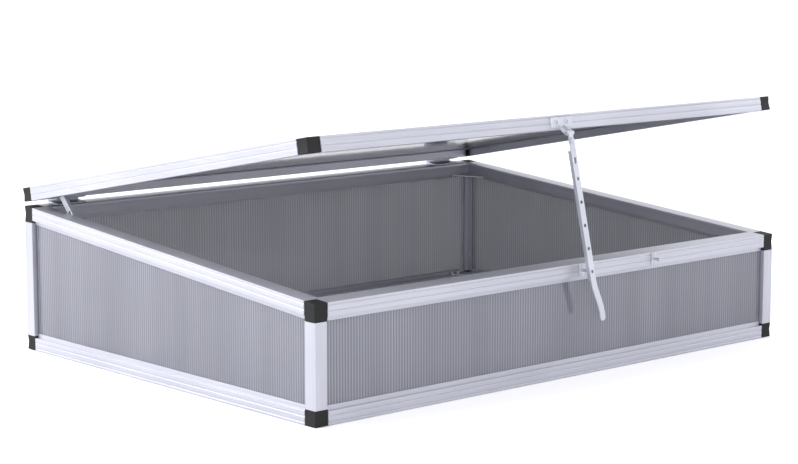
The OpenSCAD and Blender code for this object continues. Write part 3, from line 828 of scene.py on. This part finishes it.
@dataclass
class CornerBlocks:
    """Twelve moulded blocks, waisted on their two outer faces and soft at their edges.

    Args:
        shape: the base's planes.
        lid: the lid's own frame.
        waist: how far the outer faces curve in, in millimetres.
        power: exponent of the superellipsoid; a smaller one gives a sharper block.
        rows: rings from pole to pole, with the poles.
        columns: points on each ring.
        sharp_deg: edges sharper than this stay sharp when shaded.
    """

    shape: BaseShape
    lid: "LidFrame"
    waist: float = 1.3
    power: float = 0.11
    rows: int = 25
    columns: int = 64
    sharp_deg: float = 60.0

    def unit_block(self) -> tuple[np.ndarray, list]:
        """A block from 0 to 1 on each axis with rounded edges.

        x and y follow sign(c)|c|^p of the angle round the block times |cos|^p of the angle up it,
        and z follows |sin|^p of the angle up it, which is a superellipsoid.

        Returns:
            Points and faces; the first and last points are the poles.
        """
        rows, columns = self.rows, self.columns
        up = np.linspace(-math.pi / 2, math.pi / 2, rows)[1:-1, None]
        round_ = (np.arange(columns) + 0.5)[None, :] * 2 * math.pi / columns

        def power(value: np.ndarray) -> np.ndarray:
            """Signed power of a sine or cosine."""
            return np.sign(value) * np.abs(value) ** self.power

        x = power(np.cos(round_)) * power(np.cos(up))
        y = power(np.sin(round_)) * power(np.cos(up))
        z = power(np.sin(up)) * np.ones_like(round_)
        body = np.stack([x, y, z], -1).reshape(-1, 3)
        points = np.concatenate([body, [[0, 0, -1.0], [0, 0, 1.0]]]) * 0.5 + 0.5
        faces = grid_faces(rows - 2, columns).tolist()
        low, high, last = len(body), len(body) + 1, (rows - 3) * columns
        ring = np.arange(columns)
        faces += np.stack([np.full(columns, low), (ring + 1) % columns, ring], -1).tolist()
        faces += np.stack([np.full(columns, high), last + ring, last + (ring + 1) % columns], -1).tolist()
        return points, faces

    def waisted(self, unit: np.ndarray, size: float) -> tuple[np.ndarray, np.ndarray]:
        """Depths of unit points from the two outer faces, drawn in most at half height, in metres."""
        pinch = self.waist * MM * (1 - (2 * unit[:, 2] - 1) ** 2)
        return size * unit[:, 0] + pinch * (1 - unit[:, 0]), size * unit[:, 1] + pinch * (1 - unit[:, 1])

    def build(self) -> None:
        """Builds the blocks on the ground, under the lid and on the lid."""
        unit, faces = self.unit_block()
        shape, lid = self.shape, self.lid
        across, along = self.waisted(unit, shape.cap)
        for name in CORNERS:
            right = -1.0 if name.endswith("right") else 1.0
            rear = name.startswith("rear")
            x = shape.left * right + right * across
            y = shape.rear - along if rear else shape.front + along
            y_lid = lid.back - along if rear else lid.front + along
            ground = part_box(f"bottom_corner_{name}")[0].z
            post_low, post_high = (corner.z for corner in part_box(f"corner_post_{name}"))
            top = shape.top(y, np.zeros_like(y))
            blocks = {
                "bottom": np.stack([x, y, ground + (post_low - ground) * unit[:, 2]], -1),
                "top": np.stack([x, y, post_high + (top - post_high) * unit[:, 2]], -1),
                "lid": lid.place(x, y_lid, lid.low + lid.tall * unit[:, 2]),
            }
            for level, points in blocks.items():
                node = f"{level}_corner_{name}"
                add_piece(f"{node}_block", points, faces, NYLON.material(), node, self.sharp_deg)


# ---- The lid ----


@dataclass
class LidFrame:
    """The lid's own frame: level, with its origin on the hinge axis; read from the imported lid."""

    origin: np.ndarray = field(init=False)
    rise: float = field(init=False)
    front: float = field(init=False)
    back: float = field(init=False)
    low: float = field(init=False)
    tall: float = field(init=False)

    def __post_init__(self) -> None:
        """Finds the opening from the long direction of the lid's sheet, a plain box."""
        self.origin = joint_point("lid_hinge")
        points = np.unique(node_points("lid_sheet")[:, 1:].round(6), axis=0)
        points = points - points.mean(0)
        direction = np.linalg.svd(points, full_matrices=False)[2][0]
        self.rise = math.atan(-direction[1] / direction[0])
        local = self.local(node_points("lid_rail_front"))
        self.front = local[:, 1].min()
        self.low = local[:, 2].min()
        self.tall = local[:, 2].max() - self.low
        self.back = self.local(node_points("lid_rail_rear"))[:, 1].max()

    def local(self, points: np.ndarray) -> np.ndarray:
        """Turns places in the row frame into the lid's own frame."""
        y, z = points[:, 1] - self.origin[1], points[:, 2] - self.origin[2]
        c, s = math.cos(self.rise), math.sin(self.rise)
        return np.stack([points[:, 0], y * c - z * s, y * s + z * c], -1)

    def place(self, x: np.ndarray, y: np.ndarray, z: np.ndarray) -> np.ndarray:
        """Turns places in the lid's own frame into the row frame.

        Args:
            x: places along the hinge.
            y: places from the hinge axis, negative to the front.
            z: heights above the hinge axis.

        Returns:
            Places in the row frame, with the last axis of length 3.
        """
        x, y, z = np.broadcast_arrays(x, y, z)
        c, s = math.cos(self.rise), math.sin(self.rise)
        return np.stack([x, self.origin[1] + y * c + z * s, self.origin[2] - y * s + z * c], -1)


@dataclass
class LidRails:
    """The lid's four rails, with lips round the sheet; sizes in millimetres.

    Args:
        shape: the base's planes.
        lid: the lid's own frame.
        depth: depth of the hollow body.
        lip: reach of the lips.
        lip_t: thickness of a lip.
        slot: height of the slot above the underside.
        slot_w: width of the slot.
        groove: depth of the grooves in the face.
        groove_at: heights of the two grooves, as shares of the face.
        edge: radius of the edges.
    """

    shape: BaseShape
    lid: LidFrame
    depth: float = 20.0
    lip: float = 9.0
    lip_t: float = 1.5
    slot: float = 15.0
    slot_w: float = 4.5
    groove: float = 0.8
    groove_at: tuple[float, float] = (0.42, 0.84)
    edge: float = 0.7

    def outline(self) -> np.ndarray:
        """Outline as [depth from the outer face, height above the underside], in metres."""
        tall = self.lid.tall / MM
        reach = self.depth + self.lip
        top = self.slot + self.slot_w
        corners = [[0, 0]]
        for share in self.groove_at:
            corners += groove_corners(tall * share, self.groove)
        corners += [[0, tall], [self.depth, tall], [self.depth, top + self.lip_t]]
        corners += [[reach, top + self.lip_t], [reach, top], [self.depth + self.lip_t, top]]
        corners += [[self.depth + self.lip_t, self.slot], [reach, self.slot]]
        corners += [[reach, self.slot - self.lip_t], [self.depth, self.slot - self.lip_t], [self.depth, 0]]
        return rounded(np.array(corners), self.edge) * MM

    def build(self) -> None:
        """Builds the four rails; the side rails' lips stop at those of the front and rear."""
        shape, lid = self.shape, self.lid
        outline = self.outline()
        body, reach = self.depth * MM, (self.depth + self.lip) * MM
        for side in SIDES:
            if side in LENGTHWISE:
                stations = plain(shape.left, -shape.left, shape.cap)
            else:
                stations = notched(lid.front, lid.back, shape.cap, reach, body)
            deep, tall, along = carried(outline, stations)
            x, y = around(side, (shape.left, lid.front, lid.back), deep, along)
            points, faces = swept(lid.place(x, y, lid.low + tall))
            node = f"lid_rail_{side}"
            add_piece(f"{node}_section", points, faces, ANODISED.material(drawn_along(side)), node)


# ---- Sheets ----


@dataclass
class TwinWall:
    """Twin-wall sheet: two thin skins joined by ribs that run along the flutes.

    Args:
        pitch: distance between ribs, in millimetres.
        rib: thickness of a rib.
        skin: thickness of a skin.
        thick: thickness of the sheet.
    """

    pitch: float = 5.78
    rib: float = 0.35
    skin: float = 0.45
    thick: float = 4.0

    def solid(
        self, start: float, end: float, place: Callable[[np.ndarray, np.ndarray, int], np.ndarray]
    ) -> tuple[np.ndarray, list, Ribs]:
        """Carries the sheet's section along its flutes.

        The section is a table of cells between the ribs' and the skins' faces. A cell is solid
        where it lies in a skin or a rib. Solid cells close the two ends, and each border between
        a solid cell and an empty one becomes a long face.

        Args:
            start: where the sheet's width starts, in metres.
            end: where it ends.
            place: turns widths, depths and an end number (0 or 1) into places.

        Returns:
            Points, faces and the sheet's ribs.
        """
        count = int(round((end - start) / (self.pitch * MM)))
        middles = np.linspace(start + self.rib * MM / 2, end - self.rib * MM / 2, count + 1)
        wide = (middles[:, None] + np.array([-0.5, 0.5]) * self.rib * MM).reshape(-1)
        deep = np.array([0.0, self.skin, self.thick - self.skin, self.thick]) * MM
        solid = np.ones((len(wide) - 1, 3), bool)
        solid[1::2, 1] = False
        grid_w, grid_d = np.meshgrid(wide, deep, indexing="ij")
        ends = [place(grid_w.ravel(), grid_d.ravel(), n) for n in (0, 1)]
        size = grid_w.size
        index = np.arange(size).reshape(grid_w.shape)
        i, j = np.nonzero(solid)
        cap = np.stack([index[i, j], index[i + 1, j], index[i + 1, j + 1], index[i, j + 1]], -1)
        padded = np.pad(solid, 1)
        faces = [cap, cap[:, ::-1] + size]
        inside = [np.zeros(2 * len(cap), bool)]
        a, b = np.nonzero(padded[:-1, 1:-1] != padded[1:, 1:-1])
        low, high = index[a, b], index[a, b + 1]
        faces.append(np.stack([low, high, high + size, low + size], -1))
        inside.append((a > 0) & (a < len(wide) - 1))
        a, b = np.nonzero(padded[1:-1, :-1] != padded[1:-1, 1:])
        low, high = index[a, b], index[a + 1, b]
        faces.append(np.stack([low, high, high + size, low + size], -1))
        inside.append((b > 0) & (b < len(deep) - 1))
        number = (grid_w.ravel() - middles[0]) / (middles[1] - middles[0])
        shape = np.concatenate(ends), np.concatenate(faces).tolist()
        return *shape, Ribs(np.tile(number, 2), np.concatenate(inside))


@dataclass
class Sheets:
    """The four wall sheets and the lid's sheet.

    Args:
        shape: the base's planes.
        lid: the lid's own frame.
        wall: the sheet's section.
        sharp_deg: edges sharper than this stay sharp when shaded.
    """

    shape: BaseShape
    lid: LidFrame
    wall: TwinWall = field(default_factory=TwinWall)
    sharp_deg: float = 20.0

    def build(self) -> None:
        """Builds the sheets; wall ribs stand upright, and the lid's run from front to rear."""
        shape, lid = self.shape, self.lid
        for side in SIDES:
            node = f"wall_sheet_{side}"
            low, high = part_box(node)
            if side in LENGTHWISE:

                def place(w: np.ndarray, d: np.ndarray, n: int) -> np.ndarray:
                    """Width along X, depth along Y."""
                    return np.stack([w, low.y + d, np.full_like(w, (low.z, high.z)[n])], -1)

                points, faces, ribs = self.wall.solid(low.x, high.x, place)
            else:
                under = (shape.top(high.y, 0.0) - high.z) / math.hypot(1.0, shape.slope)

                def place(w: np.ndarray, d: np.ndarray, n: int) -> np.ndarray:
                    """Width along Y, depth along X, top edge along the slope."""
                    top = shape.top(w, under) if n else np.full_like(w, low.z)
                    return np.stack([low.x + d, w, top], -1)

                points, faces, ribs = self.wall.solid(low.y, high.y, place)
            add_piece(f"{node}_flutes", points, faces, SHEET.material(), node, self.sharp_deg, ribs)
        local = lid.local(node_points("lid_sheet"))
        low, high = local.min(0), local.max(0)

        def place_lid(w: np.ndarray, d: np.ndarray, n: int) -> np.ndarray:
            """Width along X, flutes from front to rear."""
            return lid.place(w, np.full_like(w, (low[1], high[1])[n]), low[2] + d)

        points, faces, ribs = self.wall.solid(low[0], high[0], place_lid)
        dress = SHEET.material()
        add_piece("lid_sheet_flutes", points, faces, dress, "lid_sheet", self.sharp_deg, ribs)


# ---- Fasteners ----


def islands(node: str) -> list[np.ndarray]:
    """Splits a CAD group into its separate solids.

    Args:
        node: name of the CAD node.

    Returns:
        The points of each solid, in a steady order.
    """
    build = bmesh.new()
    build.from_mesh(FRAME["nodes"][node].data)
    bmesh.ops.remove_doubles(build, verts=build.verts, dist=CAD_SEAM)
    build.verts.index_update()
    seen: set[int] = set()
    found = []
    for first in build.verts:
        if first.index in seen:
            continue
        stack, group = [first], []
        seen.add(first.index)
        while stack:
            vert = stack.pop()
            group.append(tuple(vert.co))
            for edge in vert.link_edges:
                other = edge.other_vert(vert)
                if other.index not in seen:
                    seen.add(other.index)
                    stack.append(other)
        found.append(np.array(group))
    build.free()
    return found


class Drive(Enum):
    """What a fastener's head looks like."""

    CROSS = "pan head with a cross recess"
    HEX = "hexagon nut with the bolt's end standing through it"


@dataclass
class Fastener:
    """A screw's head or a nut, worked out as a radius and a height over rings and angles.

    Args:
        drive: the head's form.
        head_r: radius of the head, or half the nut's width over its corners, in millimetres.
        head_h: height of the head or nut.
        shank_r: radius of the shank.
        point_h: how far the bolt's end stands through a nut.
    """

    drive: Drive
    head_r: float
    head_h: float
    shank_r: float
    point_h: float = 0.0

    def profile(self) -> np.ndarray:
        """Radius and height of each ring, from the bolt's far end to the top of the head.

        Returns:
            (rings, 2) array in millimetres, with heights from the head's seat.
        """
        r, h, s = self.head_r, self.head_h, self.shank_r
        if self.drive is Drive.HEX:
            end = self.point_h
            return np.array([
                [s, -0.01], [r, 0.0], [r, 0.35], [r, h - 0.4], [r * 0.93, h], [s + 0.25, h],
                [s, h - 0.15], [s, h + end - 0.5], [s - 0.45, h + end],
                [s * 0.5, h + end], [s * 0.02, h + end],
            ])
        t = np.linspace(0, math.pi / 2, 7)
        dome = np.stack([r - 0.32 * r * (1 - np.cos(t)), 0.35 * h + 0.65 * h * np.sin(t)], -1)
        flat = np.array([[share * 0.68 * r, h] for share in (0.85, 0.7, 0.55, 0.4, 0.25, 0.1, 0.01)])
        return np.concatenate([[[s, -0.01], [r, 0.0]], dome, flat])

    def grid(self, columns: int = 48) -> tuple[np.ndarray, list]:
        """Turns the profile about the axis and cuts the head's form into it.

        Args:
            columns: points on each ring.

        Returns:
            Points with the axis along +Z and the seat at z = 0, in metres, and faces.
        """
        ring = self.profile()
        angle = np.arange(columns) * 2 * math.pi / columns
        radius = np.repeat(ring[:, :1], columns, 1)
        height = np.repeat(ring[:, 1:], columns, 1)
        if self.drive is Drive.HEX:
            flat = math.cos(math.pi / 6) / np.cos(np.mod(angle, math.pi / 3) - math.pi / 6)
            radius = np.where(radius > self.shank_r + 0.3, np.minimum(radius, self.head_r * flat), radius)
        x, y = radius * np.cos(angle), radius * np.sin(angle)
        if self.drive is Drive.CROSS:
            arm = 0.17 * self.head_r
            inside = (np.minimum(np.abs(x), np.abs(y)) < arm) & (radius < 0.5 * self.head_r)
            height = height - np.where(inside & (height > 0.9 * self.head_h), 0.55 * self.head_h, 0.0)
        points = np.stack([x, y, height], -1).reshape(-1, 3) * MM
        faces = grid_faces(len(ring), columns).tolist()
        faces.append(list(range(columns))[::-1])
        last = (len(ring) - 1) * columns
        faces.append(list(range(last, last + columns)))
        return points, faces

    def fit(self, node: str, axes: Sequence[np.ndarray]) -> None:
        """Puts one of these on every solid of a CAD group, head outermost.

        Args:
            node: the CAD group.
            axes: directions that a head may point in; the one nearest the solid's own is used.
        """
        unit, faces = self.grid()
        total = (self.head_h + self.point_h) * MM
        points, quads = [], []
        for solid in islands(node):
            middle = (solid.min(0) + solid.max(0)) / 2
            centred = solid - middle
            spread = [np.ptp(centred @ a) / max(np.ptp(centred @ side_of(a)), 1e-6) for a in axes]
            heads = [self.lean(centred, a) for a in axes]
            axis = axes[int(np.argmax(np.array(heads) + 1e-3 * np.array(spread)))]
            side = side_of(axis)
            other = np.cross(axis, side)
            along = centred @ axis
            seat = middle + axis * (along.max() - total)
            for direction in (side, other):
                values = centred @ direction
                seat = seat + direction * (values.max() + values.min()) / 2
            quads += [[c + len(points) * len(unit) for c in face] for face in faces]
            points.append(seat + unit[:, :1] * side + unit[:, 1:2] * other + unit[:, 2:] * axis)
        add_piece(f"{node}_heads", np.concatenate(points), quads, ZINC.material(), node, 40.0)

    @staticmethod
    def lean(centred: np.ndarray, axis: np.ndarray) -> float:
        """How much wider a solid is at its head end than at its other end, along an axis.

        Args:
            centred: the solid's points about its middle.
            axis: the direction to test.

        Returns:
            Width at the top less width at the bottom, square to the axis.
        """
        along = centred @ axis
        across = centred - along[:, None] * axis
        top = across[along > along.max() - 1e-4]
        bottom = across[along < along.min() + 1e-4]
        return float(np.linalg.norm(np.ptp(top, 0)) - np.linalg.norm(np.ptp(bottom, 0)))


def side_of(axis: np.ndarray) -> np.ndarray:
    """Returns a unit vector square to an axis."""
    guess = np.array([1.0, 0, 0]) if abs(axis[0]) < 0.9 else np.array([0, 1.0, 0])
    side = np.cross(axis, guess)
    return side / np.linalg.norm(side)


@dataclass
class Hardware:
    """Hinges, stays, catches, gussets and their fasteners."""

    shape: BaseShape
    lid: LidFrame

    def pressed(self) -> None:
        """Softens the parts that are stamped, folded or turned, and dresses them."""
        plates = {
            "lower_gussets": (MILL, 0.35), "upper_gussets": (MILL, 0.35),
            "hinge_base_leaf_left": (MILL, 0.25), "hinge_base_leaf_right": (MILL, 0.25),
            "hinge_lid_leaf_left": (MILL, 0.25), "hinge_lid_leaf_right": (MILL, 0.25),
            "hinge_pin_left": (PIN_STEEL, 0.4), "hinge_pin_right": (PIN_STEEL, 0.4),
            "hinge_base_screws": (ZINC, 0.15), "hinge_lid_screws": (ZINC, 0.15),
            "stay_bracket": (MILL, 0.4), "stay_cross_pin": (PIN_STEEL, 0.3),
            "stay_knuckle": (MILL, 0.3), "stay_rivet": (ZINC, 0.5), "stay_arm": (MILL, 0.3),
            "catch_middle": (ZINC, 0.4), "catch_right": (ZINC, 0.4),
            "side_stay_bolt": (ZINC, 0.5), "side_stay_arm": (MILL, 0.3),
        }
        for node, (finish, width) in plates.items():
            softened(f"{node}_piece", node, finish.material(Axis.Z), width)

    def fasteners(self) -> None:
        """Builds screws and nuts where the groups' solids stand."""
        c, s = math.cos(self.lid.rise), math.sin(self.lid.rise)
        up = np.array([0.0, -self.shape.slope, 1.0])
        up = up / np.linalg.norm(up)
        nut = Fastener(Drive.HEX, head_r=3.6, head_h=3.0, shank_r=2.0, point_h=2.0)
        nut.fit("lower_gusset_bolts", [np.array([0.0, 0.0, 1.0])])
        nut.fit("upper_gusset_bolts", [-up])
        sides = [np.array(a, float) for a in ((1, 0, 0), (-1, 0, 0), (0, 1, 0), (0, -1, 0))]
        post_screw = Fastener(Drive.CROSS, head_r=3.2, head_h=2.0, shank_r=1.5)
        post_screw.fit("post_screws", sides)
        plate_screw = Fastener(Drive.CROSS, head_r=3.6, head_h=1.6, shank_r=1.9)
        plate_screw.fit("stay_bracket_screws", [np.array([0.0, -c, s])])
        catch_screw = Fastener(Drive.CROSS, head_r=2.6, head_h=1.2, shank_r=1.5)
        catch_screw.fit("catch_screws", [np.array([0.0, -1.0, 0.0])])

    def build(self) -> None:
        """Builds all the hardware."""
        self.pressed()
        self.fasteners()


# ---- Studio ----


@dataclass
class Studio:
    """Floor, light and camera; lengths in metres and angles in degrees.

    Args:
        place: the camera's place.
        yaw: turn of its view from +Y towards +X.
        pitch: how far it looks down.
        lens: focal length in millimetres on a 36 mm sensor.
        cloth: brightness of the cloth all round.
        cards: for each card its direction, the cosines where it starts and is full, and its gain.
        softboxes: each light's name, place, width and height, and watts.
        half: half the floor's side.
        below: how far the floor lies under the object, so that the two don't share a plane.
    """

    place: tuple[float, float, float] = (-2.5607, -2.8561, 0.7718)
    yaw: float = 41.632
    pitch: float = 8.440
    lens: float = 97.684
    cloth: float = 1.3
    cards: tuple = (
        ((-0.66, 0.74, 0.1), 0.2, 0.95, 0.9),
        ((0.42, -0.91, 0.0), 0.78, 0.99, -0.8),
        ((0.83, -0.55, 0.05), 0.86, 0.99, 0.8),
    )
    softboxes: tuple = (
        ("softbox_left", (-2.4, 2.0, 2.0), (2.0, 1.6), 90.0),
        ("softbox_right", (2.6, -0.8, 1.1), (0.9, 0.7), 16.0),
        ("softbox_front", (-1.6, -2.9, 0.85), (1.2, 0.6), 36.0),
    )
    half: float = 45.0
    below: float = 0.0004

    def floor(self) -> None:
        """Lays a broad pale floor just under the object."""
        mesh = bpy.data.meshes.new("studio_floor")
        signs = ((-1, -1), (1, -1), (1, 1), (-1, 1))
        corners = [(a * self.half, b * self.half, -self.below) for a, b in signs]
        mesh.from_pydata(corners, [], [(0, 1, 2, 3)])
        mesh.materials.append(FLOOR.material())
        made = bpy.data.objects.new("studio_floor", mesh)
        bpy.context.scene.collection.objects.link(made)

    def softbox(self, name: str, place: tuple, size: tuple, power: float) -> None:
        """Hangs one soft rectangular light that faces the object.

        Args:
            name: the light's name.
            place: its place.
            size: its width and height.
            power: its power in watts.
        """
        data = bpy.data.lights.new(name, "AREA")
        data.shape = "RECTANGLE"
        data.size, data.size_y = size
        data.energy = power
        made = bpy.data.objects.new(name, data)
        made.location = place
        made.rotation_euler = (Vector((0, 0, 0.2)) - Vector(place)).to_track_quat("-Z", "Y").to_euler()
        bpy.context.scene.collection.objects.link(made)

    def sky(self) -> None:
        """Surrounds the stage with white cloth, and hangs brighter and darker cards before it."""
        world = bpy.data.worlds.new("studio")
        bpy.context.scene.world = world
        world.use_nodes = True
        tree = world.node_tree
        tree.nodes.clear()
        direction = add_node(tree, "TexCoord", {}).outputs["Generated"]
        level = None
        for aim, start, end, gain in self.cards:
            toward = add_node(tree, "VectorMath", {0: direction, 1: aim}, operation="DOT_PRODUCT")
            card = add_node(
                tree,
                "MapRange",
                {"Value": toward.outputs["Value"], "From Min": start, "From Max": end, "To Max": gain},
                interpolation_type="SMOOTHSTEP",
            )
            before = level.outputs[0] if level else self.cloth
            level = add_node(tree, "Math", {0: before, 1: card.outputs["Result"]}, operation="ADD")
        light = add_node(tree, "Background", {"Color": linear("#FDFDFF"), "Strength": level.outputs[0]})
        add_node(tree, "OutputWorld", {"Surface": light.outputs["Background"]})

    def camera(self) -> None:
        """Sets up the camera, level from side to side."""
        data = bpy.data.cameras.new("studio_camera")
        data.sensor_width = 36.0
        data.lens = self.lens
        data.clip_end = 300.0
        made = bpy.data.objects.new("studio_camera", data)
        made.location = self.place
        made.rotation_euler = (math.radians(90 - self.pitch), 0.0, math.radians(-self.yaw))
        bpy.context.scene.collection.objects.link(made)
        bpy.context.scene.camera = made

    def build(self) -> None:
        """Builds the floor, the lights and the camera."""
        bpy.context.scene.view_settings.view_transform = "Standard"
        self.floor()
        self.sky()
        for name, place, size, power in self.softboxes:
            self.softbox(name, place, size, power)
        self.camera()


def main() -> None:
    """Builds every piece around the frame, then the studio."""
    logging.basicConfig(level=logging.INFO, format="%(name)s: %(message)s")
    shape = BaseShape()
    lid = LidFrame()
    BaseRails(shape).build()
    Posts(shape).build()
    CornerBlocks(shape, lid).build()
    LidRails(shape, lid).build()
    Sheets(shape, lid).build()
    Hardware(shape, lid).build()
    Studio().build()


if __name__ == "__main__":
    main()
